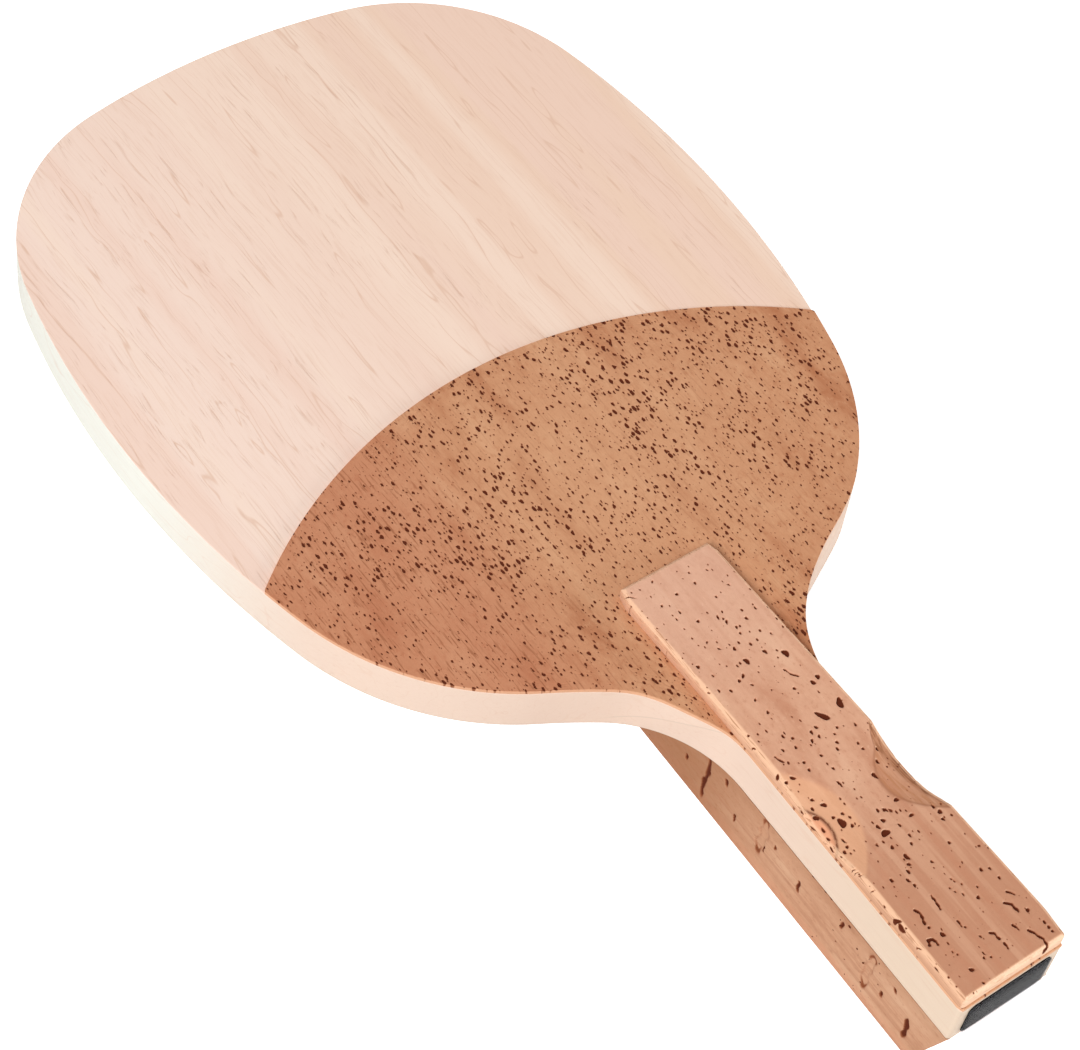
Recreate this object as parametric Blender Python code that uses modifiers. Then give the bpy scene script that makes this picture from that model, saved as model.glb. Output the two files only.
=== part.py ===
# Penhold table tennis blade: one thick ply of wood with a cork grip.
# The blade lies flat. Its length runs along Y with the tip at +Y, its thickness along Z, and the
# face with the thin cork sheet looks up. The origin is under the middle of its length, on the
# plane of the hook block's outer face. All sizes are metres.

import bpy
import bmesh
from math import acos, atan2, ceil, cos, pi, radians, sin, sqrt, tan
from mathutils import Matrix, Vector

# Space left between two pieces that touch
gap = 0.0003

# Blade: outline from the tip to the butt, and the stack of layers along Z
bladeLength = 0.2427
coreThickness = 0.0100
sheetThickness = 0.0006
slabThickness = 0.0024
blockHeight = 0.0156

# Half outline from the tip clockwise: radius and turn of each arc. The last arc is the start of
# the hollow neck and turns the other way.
outlineArcs = (
    (0.1540, radians(11.0)),
    (0.0420, radians(67.0)),
    (0.1880, radians(26.9)),
    (0.0547, radians(47.3)),
    (0.1252, radians(-5.2)),
)

# Handle: half width where the neck ends, opening a little towards the butt
handleHalfWidth = 0.01045
handleFlare = radians(0.9)
buttCornerRadius = 0.0008

# Cork sheet: its upper edge is one arc that bulges towards the tip
sheetArcRadius = 0.1000
sheetLength = 0.1497

# Grip slab, measured from the butt
slabLength = 0.0945
gripButtInset = 0.0003
slabCornerClip = (0.0012, 0.0022)
slabChamfer = 0.0006

# Hook block, measured from the butt
blockLength = 0.0931
blockButtSlope = radians(18.0)
blockEdgeRadius = 0.0003
hookFaceRadius = 0.0180
hookFaceHeight = 0.0090
hookFaceTrim = 0.0010
fingerNotchRadius = 0.0120
fingerNotchDepth = 0.0060
fingerNotchStation = 0.0777

# Badge on the butt end
badgeWidth = 0.0184
badgeHeight = 0.0090
badgeCornerRadius = 0.0016
plateThickness = 0.0002
lensThickness = 0.0004
lensEdge = 0.0002

# Thumb and finger scoops in the grip slab. Each is a round trough that falls outwards:
# side, station from the butt, distance of its inner end from the middle, slope, radius.
scoops = (
    ("scoop_left_wide", -1, 0.0385, 0.0035, radians(15.0), 0.0440),
    ("scoop_left_deep", -1, 0.0383, 0.0066, radians(34.0), 0.0135),
    ("scoop_right_wide", 1, 0.0386, 0.0030, radians(12.0), 0.0300),
    ("scoop_right_deep", 1, 0.0403, 0.0062, radians(34.0), 0.0248),
)
scoopReach = 0.0300
# The scoop that goes through the slab and bevels the sheet's edge too
sheetScoop = "scoop_right_deep"

# Heights of the stack, from the hook block's outer face
coreBottom = blockHeight + gap
coreTop = coreBottom + coreThickness
sheetBottom = coreTop + gap
slabBottom = sheetBottom + sheetThickness + gap
slabTop = slabBottom + slabThickness

# Stations along Y
badgeDepth = gap + plateThickness + gap + lensThickness
tipY = (bladeLength + badgeDepth) / 2
buttY = tipY - bladeLength

# Facets of curved shapes: how far a chord may stray from its arc, and the widest turn
arcTolerance = 0.00002
widestTurn = radians(15.0)
cylinderSides = 128
flatAngle = radians(0.1)

# Colours as seen in daylight, red green blue
woodColour = (0.95, 0.84, 0.76)
sheetColour = (0.78, 0.55, 0.41)
slabColour = (0.83, 0.62, 0.50)
blockColour = (0.82, 0.63, 0.49)
plateColour = (0.05, 0.05, 0.06)
lensColour = (0.16, 0.16, 0.18)


def clearScene():
    for item in list(bpy.data.objects):
        bpy.data.objects.remove(item, do_unlink=True)


def makeCollection(name):
    collection = bpy.data.collections.new(name)
    bpy.context.scene.collection.children.link(collection)
    return collection


def toLinear(channel):
    if channel <= 0.04045:
        return channel / 12.92
    return ((channel + 0.055) / 1.055) ** 2.4


def setMaterial(piece, colour, roughness, metallic=0.0):
    material = bpy.data.materials.new(piece.name)
    material.use_nodes = True
    shader = material.node_tree.nodes["Principled BSDF"]
    linear = [toLinear(channel) for channel in colour]
    shader.inputs["Base Color"].default_value = (*linear, 1.0)
    shader.inputs["Roughness"].default_value = roughness
    shader.inputs["Metallic"].default_value = metallic
    material.diffuse_color = (*linear, 1.0)
    piece.data.materials.clear()
    piece.data.materials.append(material)


# Points along an arc, both ends included. A positive turn goes clockwise.
def arc(centre, radius, startAngle, turn):
    step = min(widestTurn, 2 * acos(1 - arcTolerance / radius))
    count = max(2, ceil(abs(turn) / step))
    angles = [startAngle - turn * index / count for index in range(count + 1)]
    return [(centre[0] + radius * cos(a), centre[1] + radius * sin(a)) for a in angles]


# Half width of the straight handle, carried on towards the tip.
def halfWidthAt(y):
    return handleHalfWidth + (neckEndY() - y) * tan(handleFlare)


# The arc that goes on from a point: side is 1 where it turns clockwise, -1 where it turns back.
def nextArc(start, heading, radius, turn):
    side = 1 if turn > 0 else -1
    x, y = start
    centre = (x + side * radius * sin(heading), y - side * radius * cos(heading))
    return arc(centre, radius, heading + side * pi / 2, turn)[1:]


# The right half from the tip to the handle. The radius of its last arc, the rest of the hollow
# neck, follows from the handle's width.
def outlineToHandle():
    points = [(0.0, tipY)]
    heading = 0.0
    for radius, turn in outlineArcs:
        points += nextArc(points[-1], heading, radius, turn)
        heading -= turn
    endHeading = handleFlare - pi / 2
    radius = (handleHalfWidth - points[-1][0]) / (sin(endHeading) - sin(heading))
    return points + nextArc(points[-1], heading, radius, heading - endHeading)


def neckEndY():
    return outlineToHandle()[-1][1]


# An arc that replaces the corner between the lines to before and after.
def roundedCorner(corner, before, after, radius):
    toBefore = (Vector(before) - Vector(corner)).normalized()
    toAfter = (Vector(after) - Vector(corner)).normalized()
    halfAngle = toBefore.angle(toAfter) / 2
    middle = (toBefore + toAfter).normalized()
    centre = Vector(corner) + middle * radius / sin(halfAngle)
    start = Vector(corner) + toBefore * radius / tan(halfAngle) - centre
    end = Vector(corner) + toAfter * radius / tan(halfAngle) - centre
    startAngle = atan2(start.y, start.x)
    turn = (startAngle - atan2(end.y, end.x) + pi) % (2 * pi) - pi
    return arc(centre, radius, startAngle, turn)


# A right half closed with its mirror image. Points on the middle line aren't doubled.
def mirrored(half):
    return half + [(-x, y) for x, y in reversed(half) if abs(x) > gap / 10]


def bladeOutline():
    half = outlineToHandle()
    corner = (halfWidthAt(buttY), buttY)
    half += roundedCorner(corner, half[-1], (0.0, buttY), buttCornerRadius)
    return mirrored(half)


def slabOutline():
    headY = buttY + slabLength
    endY = buttY + gripButtInset
    clipX, clipY = slabCornerClip
    half = [
        (halfWidthAt(headY) - clipX, headY),
        (halfWidthAt(headY - clipY), headY - clipY),
    ]
    half += roundedCorner((halfWidthAt(endY), endY), half[-1], (0.0, endY), buttCornerRadius / 2)
    return mirrored(half)


def blockOutline():
    headY = buttY + blockLength + hookFaceTrim
    return mirrored([(halfWidthAt(headY), headY), (halfWidthAt(buttY), buttY)])


def badgeOutline():
    x, y, r = badgeWidth / 2, badgeHeight / 2, badgeCornerRadius
    half = arc((x - r, y - r), r, pi / 2, pi / 2) + arc((x - r, r - y), r, 0.0, pi / 2)
    return mirrored(half)


# A flat piece of the outline's shape. place sets the middle of its thickness.
def makePlate(name, outline, thickness, place):
    curve = bpy.data.curves.new(name, "CURVE")
    curve.dimensions = "2D"
    curve.fill_mode = "BOTH"
    curve.extrude = thickness / 2
    spline = curve.splines.new("POLY")
    spline.points.add(len(outline) - 1)
    for point, (x, y) in zip(spline.points, outline):
        point.co = (x, y, 0.0, 1.0)
    spline.use_cyclic_u = True
    drawn = bpy.data.objects.new(name + "_curve", curve)
    parts.objects.link(drawn)
    drawn.matrix_world = place
    bpy.context.view_layer.update()
    evaluated = drawn.evaluated_get(bpy.context.evaluated_depsgraph_get())
    mesh = bpy.data.meshes.new_from_object(evaluated)
    mesh.name = name
    weld(mesh)
    piece = bpy.data.objects.new(name, mesh)
    piece.matrix_world = drawn.matrix_world.copy()
    parts.objects.link(piece)
    bpy.data.objects.remove(drawn, do_unlink=True)
    bpy.data.curves.remove(curve)
    return piece


# Joins a curve's loose caps to its sides and makes each cap one face.
def weld(mesh):
    shape = bmesh.new()
    shape.from_mesh(mesh)
    bmesh.ops.remove_doubles(shape, verts=shape.verts, dist=0.00001)
    bmesh.ops.dissolve_limit(shape, angle_limit=flatAngle, verts=shape.verts, edges=shape.edges)
    bmesh.ops.recalc_face_normals(shape, faces=shape.faces)
    shape.to_mesh(mesh)
    shape.free()


def hideCutter(cutter, name):
    cutter.name = name
    cutter.hide_render = True
    cutter.display_type = "WIRE"
    for owner in list(cutter.users_collection):
        owner.objects.unlink(cutter)
    cutters.objects.link(cutter)
    return cutter


def cylinderCutter(name, radius, length, centre, direction):
    bpy.ops.mesh.primitive_cylinder_add(vertices=cylinderSides, radius=radius, depth=length)
    cutter = hideCutter(bpy.context.object, name)
    turn = Vector((0.0, 0.0, 1.0)).rotation_difference(Vector(direction))
    cutter.matrix_world = Matrix.Translation(centre) @ turn.to_matrix().to_4x4()
    return cutter


def boxCutter(name, size, centre, rotation):
    bpy.ops.mesh.primitive_cube_add(size=size)
    cutter = hideCutter(bpy.context.object, name)
    cutter.matrix_world = Matrix.Translation(centre) @ rotation
    return cutter


def combine(piece, cutter, operation):
    step = piece.modifiers.new(cutter.name, "BOOLEAN")
    step.operation = operation
    step.solver = "EXACT"
    step.object = cutter


# Bevels the rim of a plate's outer face: the one on its local +Z side, or -Z where side is -1.
def bevelRim(piece, width, segments, side=1):
    rim = piece.vertex_groups.new(name="rim")
    rim.add([v.index for v in piece.data.vertices if v.co.z * side > 0.0], 1.0, "REPLACE")
    step = piece.modifiers.new("rim", "BEVEL")
    step.limit_method = "VGROUP"
    step.vertex_group = rim.name
    step.use_clamp_overlap = False
    step.width = width
    step.segments = segments


def smooth(piece, angle):
    piece.data.shade_smooth()
    piece.data.set_sharp_from_angle(angle=angle)


def makeCore():
    place = Matrix.Translation((0.0, 0.0, (coreBottom + coreTop) / 2))
    core = makePlate("blade_core", bladeOutline(), coreThickness, place)
    smooth(core, radians(20.0))
    setMaterial(core, woodColour, 0.55)


def makeSheet():
    place = Matrix.Translation((0.0, 0.0, sheetBottom + sheetThickness / 2))
    sheet = makePlate("cork_sheet", bladeOutline(), sheetThickness, place)
    centre = (0.0, buttY + sheetLength - sheetArcRadius, sheetBottom)
    disc = cylinderCutter("sheet_edge", sheetArcRadius, 0.01, centre, (0.0, 0.0, 1.0))
    combine(sheet, disc, "INTERSECT")
    combine(sheet, cutters.objects[sheetScoop], "DIFFERENCE")
    setMaterial(sheet, sheetColour, 0.8)


# A round trough that leaves the slab's top at innerX and falls towards its side.
def makeScoopCutter(name, side, station, innerX, slope, radius):
    along = Vector((side * cos(slope), 0.0, -sin(slope)))
    up = Vector((side * sin(slope), 0.0, cos(slope)))
    start = Vector((side * innerX, buttY + station, slabTop))
    cylinderCutter(name, radius, 2 * scoopReach, start + up * radius, along)


def makeSlab():
    place = Matrix.Translation((0.0, 0.0, (slabBottom + slabTop) / 2))
    slab = makePlate("grip_slab", slabOutline(), slabThickness, place)
    bevelRim(slab, slabChamfer, 1)
    for name, *_ in scoops:
        combine(slab, cutters.objects[name], "DIFFERENCE")
    smooth(slab, radians(12.0))
    setMaterial(slab, slabColour, 0.75)


def makeBlock():
    place = Matrix.Translation((0.0, 0.0, blockHeight / 2))
    block = makePlate("hook_block", blockOutline(), blockHeight, place)
    bevelRim(block, blockEdgeRadius, 2, -1)
    size = 0.05
    tilt = Matrix.Rotation(blockButtSlope, 4, "X")
    faceMiddle = Vector((0.0, buttY, blockHeight))
    centre = faceMiddle + tilt @ Vector((0.0, -size / 2, 0.0))
    combine(block, boxCutter("butt_slope", size, centre, tilt), "DIFFERENCE")
    chord = sqrt(hookFaceRadius ** 2 - hookFaceHeight ** 2)
    centreY = buttY + blockLength + chord
    centre = (0.0, centreY, hookFaceHeight)
    hollow = cylinderCutter("hook_face", hookFaceRadius, 0.06, centre, (1.0, 0.0, 0.0))
    combine(block, hollow, "DIFFERENCE")
    notchY = buttY + fingerNotchStation
    notchX = halfWidthAt(notchY) - fingerNotchDepth + fingerNotchRadius
    centre = (notchX, notchY, blockHeight / 2)
    notch = cylinderCutter("finger_notch", fingerNotchRadius, 0.06, centre, (0.0, 0.0, 1.0))
    combine(block, notch, "DIFFERENCE")
    smooth(block, radians(25.0))
    setMaterial(block, blockColour, 0.75)


def makeBadge():
    facing = Matrix.Rotation(pi / 2, 4, "X")
    middleZ = (coreBottom + coreTop) / 2
    plateY = buttY - gap - plateThickness / 2
    place = Matrix.Translation((0.0, plateY, middleZ)) @ facing
    plate = makePlate("badge_plate", badgeOutline(), plateThickness, place)
    setMaterial(plate, plateColour, 0.4)
    lensY = buttY - badgeDepth + lensThickness / 2
    place = Matrix.Translation((0.0, lensY, middleZ)) @ facing
    lens = makePlate("badge_lens", badgeOutline(), lensThickness, place)
    bevelRim(lens, lensEdge, 2)
    smooth(lens, radians(40.0))
    setMaterial(lens, lensColour, 0.08)


clearScene()
parts = makeCollection("table_tennis_blade")
cutters = makeCollection("cutters")
for scoop in scoops:
    makeScoopCutter(*scoop)
makeCore()
makeSheet()
makeSlab()
makeBlock()
makeBadge()
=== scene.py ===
import bpy
import bmesh
from math import acos, ceil, cos, pi, radians, sin, sqrt, tan
import numpy as np
from mathutils import Matrix, Vector


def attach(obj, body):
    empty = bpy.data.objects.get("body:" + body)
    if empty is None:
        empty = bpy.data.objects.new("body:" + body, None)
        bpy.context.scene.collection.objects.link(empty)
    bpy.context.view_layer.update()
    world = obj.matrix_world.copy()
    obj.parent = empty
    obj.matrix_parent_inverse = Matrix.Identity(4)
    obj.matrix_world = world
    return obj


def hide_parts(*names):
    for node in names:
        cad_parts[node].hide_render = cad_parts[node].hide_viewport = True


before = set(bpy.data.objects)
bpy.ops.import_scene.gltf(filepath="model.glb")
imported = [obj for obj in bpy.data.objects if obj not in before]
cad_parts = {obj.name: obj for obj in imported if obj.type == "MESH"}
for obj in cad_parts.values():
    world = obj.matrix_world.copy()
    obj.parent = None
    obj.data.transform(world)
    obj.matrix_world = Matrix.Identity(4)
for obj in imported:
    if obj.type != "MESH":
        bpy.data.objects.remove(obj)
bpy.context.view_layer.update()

# Everything below is in millimetres until a mesh is made
mm = 0.001
tipY = 121.95
buttY = -120.75
clearance = 0.02  # how far the carved pieces stay inside their solids


# Shapes shared by the pieces

blade = {
    "arcs": ((154.0, 11.0), (42.0, 67.0), (188.0, 26.9), (54.7, 47.3), (125.2, -5.2)),
    "handleHalfWidth": 10.45,
    "handleFlare": 0.9,
    "buttCorner": 0.8,
    "bottom": 15.9,
    "top": 25.9,
    "edge": 0.25,
    "underEdge": 0.4,
    # hand-carved neck: side, middle and reach along the length, how far the wall stands out
    # at its bottom and at its top
    "neckCarving": (
        (-1, -51.5, 9.5, 0.0, 0.8),
        (1, -30.5, 5.0, 0.3, 0.0),
        (1, -44.0, 9.0, -0.8, -0.3),
        (1, -50.0, 8.0, 0.0, -0.25),
    ),
    # crease across the left wall of the neck: height, station and slope
    "crease": (17.8, -41.3, 0.48),
    # facet along the right neck's upper edge: middle, reach, width and steepness
    "facet": (-36.3, 8.5, 0.7, 1.4),
}


def arc(centre, radius, startAngle, turn, tolerance=0.002):
    step = min(radians(12.0), 2 * acos(1 - tolerance / radius))
    count = max(2, ceil(abs(turn) / step))
    angles = [startAngle - turn * index / count for index in range(count + 1)]
    return [(centre[0] + radius * cos(a), centre[1] + radius * sin(a)) for a in angles]


def nextArc(start, heading, radius, turn):
    side = 1 if turn > 0 else -1
    centre = (start[0] + side * radius * sin(heading), start[1] - side * radius * cos(heading))
    return arc(centre, radius, heading + side * pi / 2, turn)[1:]


# Right half from the tip to where the straight handle starts
def outlineToHandle():
    points = [(0.0, tipY)]
    heading = 0.0
    for radius, turn in blade["arcs"]:
        points += nextArc(points[-1], heading, radius, radians(turn))
        heading -= radians(turn)
    endHeading = radians(blade["handleFlare"]) - pi / 2
    radius = (blade["handleHalfWidth"] - points[-1][0]) / (sin(endHeading) - sin(heading))
    return points + nextArc(points[-1], heading, radius, heading - endHeading)


neckY = outlineToHandle()[-1][1]


def halfWidthAt(y):
    return blade["handleHalfWidth"] + (neckY - y) * tan(radians(blade["handleFlare"]))


def bladeOutline():
    half = outlineToHandle()
    r = blade["buttCorner"]
    stations = np.linspace(neckY, buttY + r, 60)[1:-1]
    half += [(halfWidthAt(y), y) for y in stations]
    half += arc((halfWidthAt(buttY) - r, buttY + r), r, 0.0, pi / 2)
    half += [(x, buttY) for x in np.linspace(halfWidthAt(buttY) - r, 0.0, 12)[1:-1]]
    points = half + [(-x, y) for x, y in reversed(half) if abs(x) > 0.01]
    return np.array(points)


# 1 at the middle, fading to 0 at the reach
def swell(y, middle, reach):
    return np.cos(pi / 2 * np.clip(np.abs(y - middle) / reach, 0, 1)) ** 2


# The outline at a height. The neck's left wall stops falling back at the crease.
def carvedOutline(z):
    points = bladeOutline()
    x, y = points.T
    out = np.zeros(len(points))
    creaseZ, creaseY, slope = blade["crease"]
    for side, middle, reach, low, high in blade["neckCarving"]:
        crease = blade["top"]
        if side < 0:
            crease = np.clip(creaseZ + (creaseY - y) * slope, creaseZ, blade["top"])
        share = np.clip((z - blade["bottom"]) / (crease - blade["bottom"]), 0, 1)
        out += (low + (high - low) * share) * swell(y, middle, reach) * (x * side > 0)
    return inset(points, clearance - out)


def facetWidth(points):
    middle, reach, width, _ = blade["facet"]
    return width * swell(points[:, 1], middle, reach) * (points[:, 0] > 0)


# Moves a closed clockwise outline inwards
def inset(points, distance):
    ahead = np.roll(points, -1, axis=0) - points
    behind = points - np.roll(points, 1, axis=0)
    ahead /= np.linalg.norm(ahead, axis=1)[:, None]
    behind /= np.linalg.norm(behind, axis=1)[:, None]
    normal = (ahead + behind)[:, ::-1] * (1, -1)
    normal /= np.linalg.norm(normal, axis=1)[:, None]
    square = ahead[:, ::-1] * (1, -1)
    lean = np.clip(np.sum(normal * square, axis=1), 0.6, 1.0)
    return points + normal * (distance / lean)[:, None]


def level(points, z):
    return np.column_stack((points, np.zeros(len(points)) + z))


# A solid from closed rings of equal count, first and last ring capped
def loft(name, rings):
    count = len(rings[0])
    shape = bmesh.new()
    rows = [[shape.verts.new(tuple(point * mm)) for point in ring] for ring in rings]
    for lower, upper in zip(rows, rows[1:]):
        for i in range(count):
            j = (i + 1) % count
            face = shape.faces.new((lower[i], lower[j], upper[j], upper[i]))
            face.smooth = True
    shape.faces.new(rows[0])
    shape.faces.new(rows[-1])
    return finishMesh(name, shape)


# A solid under a height field. Each named value is kept on its points and fades down the walls.
def gridSolid(name, x, y, z, bottom, levels, values, fade=0.85):
    shape = bmesh.new()
    points = (np.dstack((x, y, z)) * mm).tolist()
    top = [[shape.verts.new(point) for point in row] for row in points]
    for near, far in zip(top, top[1:]):
        for j in range(len(near) - 1):
            shape.faces.new((near[j], near[j + 1], far[j + 1], far[j])).smooth = True
    border = top[0][:-1] + [row[-1] for row in top[:-1]]
    border += top[-1][:0:-1] + [row[0] for row in top[:0:-1]]
    shares = np.linspace(0, 1, levels + 1)[1:]
    above = border
    for share in shares:
        ring = []
        for vertex in border:
            height = vertex.co.z * (1 - share) + bottom * mm * share
            ring.append(shape.verts.new((vertex.co.x, vertex.co.y, height)))
        for i in range(len(ring)):
            shape.faces.new((above[i - 1], ring[i - 1], ring[i], above[i]))
        above = ring
    shape.faces.new(above)
    piece = finishMesh(name, shape)
    for key, value in values.items():
        edge = np.concatenate((value[0, :-1], value[:-1, -1], value[-1, :0:-1], value[:0:-1, 0]))
        walls = [edge * (0 if key == "carve" else 1 - fade * share) for share in shares]
        addAttribute(piece, key, np.concatenate((value.ravel(), *walls)))
    return piece


def addToScene(name, data):
    thing = bpy.data.objects.new(name, data)
    bpy.context.scene.collection.objects.link(thing)
    return thing


def finishMesh(name, shape):
    bmesh.ops.recalc_face_normals(shape, faces=shape.faces)
    mesh = bpy.data.meshes.new(name)
    shape.to_mesh(mesh)
    shape.free()
    return addToScene(name, mesh)


def addAttribute(piece, name, values):
    layer = piece.data.attributes.new(name, "FLOAT", "POINT")
    layer.data.foreach_set("value", np.asarray(values, dtype=np.float32))


def smoothMin(a, b, width):
    h = np.clip(0.5 + 0.5 * (b - a) / width, 0, 1)
    return b * (1 - h) + a * h - width * h * (1 - h)


def smoothStep(x):
    x = np.clip(x, 0, 1)
    return x * x * (3 - 2 * x)


# Node helpers. A node goes into the tree that its linked inputs come from.

def startMaterial(name):
    material = bpy.data.materials.new(name)
    material.use_nodes = True
    nodes = material.node_tree.nodes
    return material, nodes.new("ShaderNodeTexCoord").outputs["Object"], nodes["Principled BSDF"]


def isSocket(value):
    return isinstance(value, bpy.types.NodeSocket)


def fill(node, inputs):
    for name, value in inputs.items():
        if isSocket(value):
            node.id_data.links.new(value, node.inputs[name])
        else:
            node.inputs[name].default_value = value


def addNode(kind, inputs, **settings):
    source = next(value for value in inputs.values() if isSocket(value))
    node = source.id_data.nodes.new(kind)
    for name, value in settings.items():
        setattr(node, name, value)
    fill(node, inputs)
    return node


def maths(operation, *values):
    return addNode("ShaderNodeMath", dict(enumerate(values)), operation=operation).outputs["Value"]


def times(first, *others):
    for value in others:
        first = maths("MULTIPLY", first, value)
    return first


def vectorMaths(operation, *values):
    return addNode("ShaderNodeVectorMath", dict(enumerate(values)), operation=operation).outputs


# Coordinates in millimetres, squeezed so that a pattern draws out along an axis
def pattern(coords, frequency, move=(0, 0, 0)):
    return vectorMaths("MULTIPLY_ADD", coords, [value / mm for value in frequency], move)["Vector"]


def noise(coords, frequency, detail=2.0, roughness=0.5, move=(0, 0, 0), output=0):
    inputs = {"Vector": pattern(coords, frequency, move), "Scale": 1.0,
              "Detail": detail, "Roughness": roughness}
    return addNode("ShaderNodeTexNoise", inputs).outputs[output]


# Coordinates that sway a little, in millimetres
def bend(coords, frequency, amount):
    sway = noise(coords, frequency, detail=1.0, output=1)
    return vectorMaths("MULTIPLY_ADD", sway, (amount * mm, 0.0, amount * mm), coords)["Vector"]


def between(value, low, high, first=0.0, last=1.0):
    inputs = {"Value": value, "From Min": low, "From Max": high, "To Min": first, "To Max": last}
    return addNode("ShaderNodeMapRange", inputs, interpolation_type="SMOOTHSTEP").outputs["Result"]


def toLinear(colour):
    low = [c / 255 for c in colour]
    return [c / 12.92 if c <= 0.04045 else ((c + 0.055) / 1.055) ** 2.4 for c in low] + [1.0]


def mix(amount, first, second):
    colours = [toLinear(value) if isinstance(value, tuple) else value for value in (first, second)]
    inputs = {0: amount, 6: colours[0], 7: colours[1]}
    return addNode("ShaderNodeMix", inputs, data_type="RGBA").outputs[2]


# Lays coats over a colour: how much of each shows, and its colour
def overlay(colour, *coats):
    for amount, paint in coats:
        colour = mix(amount, colour, paint)
    return colour


def axes(coords):
    return addNode("ShaderNodeSeparateXYZ", {0: pattern(coords, (1, 1, 1))}).outputs


# 1 close to a point of the plan and 0 past the reach
def closeTo(coords, x, y, reach):
    flat = pattern(coords, (1, 1, 0), move=(-x, -y, 0))
    return between(vectorMaths("LENGTH", flat)["Value"], reach, 0.0)


def facing(coords, axis):
    normal = coords.id_data.nodes.new("ShaderNodeNewGeometry").outputs["Normal"]
    return addNode("ShaderNodeSeparateXYZ", {0: normal}).outputs[axis]


def attribute(coords, name):
    node = coords.id_data.nodes.new("ShaderNodeAttribute")
    node.attribute_name = name
    return node.outputs["Fac"]


def bump(height, distance):
    inputs = {"Distance": distance * mm, "Height": height}
    return addNode("ShaderNodeBump", inputs).outputs["Normal"]


# One pore may sit in each cell of the pattern. The same nodes carve the mesh and colour it.
def poreLayer(coords, layer, crowd):
    cell, stretch, through = layer["cell"], layer["stretch"], layer.get("through")
    frequency = (1 / cell, 1 / (cell * stretch), 1 / (cell * through) if through else 0.0)
    spread = pattern(coords, frequency, layer["move"])
    ragged = noise(coords, (1.3, 0.85, 1.3), detail=1.5, output=1)
    shifted = vectorMaths("MULTIPLY_ADD", ragged, (layer["ragged"],) * 3, spread)["Vector"]
    cells = addNode("ShaderNodeTexVoronoi", {"Vector": shifted, "Scale": 1.0},
                    voronoi_dimensions="3D" if through else "2D").outputs
    lot = addNode("ShaderNodeSeparateXYZ", {0: cells["Color"]}).outputs["X"]
    size = times(between(lot, 1 - layer["share"], 1.0, 0.0, layer["radius"]), crowd)
    return between(maths("SUBTRACT", size, cells["Distance"]), 0.0, layer["blur"])


# The pores of one piece: every layer of them, and what gathers them
def allPores(coords, values):
    cloud = noise(coords, (0.09, 0.06, 0.09), move=values["crowdMove"])
    crowd = between(cloud, 0.38, 0.62, *values["crowd"])
    for x, y, reach, strength in values["clusters"]:
        crowd = maths("ADD", crowd, times(closeTo(coords, x, y, reach), strength))
    pores = 0.0
    for layer in values["layers"]:
        pores = maths("MAXIMUM", poreLayer(coords, layer, crowd), pores)
    return pores


# Geometry nodes: presses the pores into a fine mesh, where its "carve" attribute lets them
def carvePores(piece, values):
    tree = bpy.data.node_groups.new("carvePores", "GeometryNodeTree")
    sockets = {}
    for name in ("Geometry", "Pore depth", "Relief", "Material"):
        kind = "NodeSocket" + (name if name in ("Geometry", "Material") else "Float")
        sockets[name] = tree.interface.new_socket(name, in_out="INPUT", socket_type=kind)
    tree.interface.new_socket("Geometry", in_out="OUTPUT", socket_type="NodeSocketGeometry")
    start = tree.nodes.new("NodeGroupInput").outputs
    position = tree.nodes.new("GeometryNodeInputPosition").outputs[0]
    normal = tree.nodes.new("GeometryNodeInputNormal").outputs[0]
    carve = tree.nodes.new("GeometryNodeInputNamedAttribute")
    carve.data_type = "FLOAT"
    carve.inputs["Name"].default_value = "carve"
    waves = between(noise(position, (0.5, 0.25, 0.5)), 0.3, 0.7)
    sunk = times(allPores(position, values), start["Pore depth"])
    total = maths("ADD", sunk, times(waves, start["Relief"]))
    total = times(total, -1.0, carve.outputs["Attribute"])
    inwards = addNode("ShaderNodeVectorMath", {0: normal, "Scale": total}, operation="SCALE")
    inputs = {"Geometry": start["Geometry"], "Offset": inwards.outputs["Vector"]}
    press = addNode("GeometryNodeSetPosition", inputs)
    solid = addNode("GeometryNodeRealizeInstances", {"Geometry": press.outputs["Geometry"]})
    inputs = {"Geometry": solid.outputs["Geometry"], "Material": start["Material"]}
    finish = addNode("GeometryNodeSetMaterial", inputs)
    addNode("NodeGroupOutput", {"Geometry": finish.outputs["Geometry"]})
    step = piece.modifiers.new("carvePores", "NODES")
    step.node_group = tree
    step[sockets["Pore depth"].identifier] = values["smallDepth"] * mm
    step[sockets["Relief"].identifier] = values["relief"] * mm
    step[sockets["Material"].identifier] = piece.data.materials[0]
    bpy.context.view_layer.update()
    evaluated = piece.evaluated_get(bpy.context.evaluated_depsgraph_get())
    mesh = bpy.data.meshes.new_from_object(evaluated)
    piece.modifiers.clear()
    old = piece.data
    piece.data = mesh
    bpy.data.meshes.remove(old)


def place(piece, nodeName, material, pores=None):
    piece.data.materials.append(material)
    if pores:
        carvePores(piece, pores)
    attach(piece, "root")
    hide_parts(nodeName)


# Wood core

wood = {
    "left": (243, 217, 202),
    "right": (238, 206, 184),
    "pinkBand": (239, 207, 190),
    "paleBand": (245, 220, 202),
    "lines": (222, 184, 160),
    "dashes": (206, 164, 138),
    # rim: painted highlight, the walls facing left near the head are paler
    "rim": (240, 239, 229),
    "rimLow": (231, 206, 188),
    "rimButt": (224, 203, 180),
    # underEdge: painted shade along the bottom edge of the walls
    "underEdge": (196, 184, 168),
    # crease: painted shade line along the crease of the left neck wall
    "crease": (212, 190, 172),
    # how strongly each of them shows
    "shows": {"bands": 0.6, "rimLow": 0.85, "underEdge": 0.7, "crease": 0.6,
              "fibres": 0.28, "rings": 0.6, "dashes": 0.5},
    "roughness": (0.48, 0.63),
    "specular": 0.06,
    "grainDepth": 0.04,
}


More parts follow.
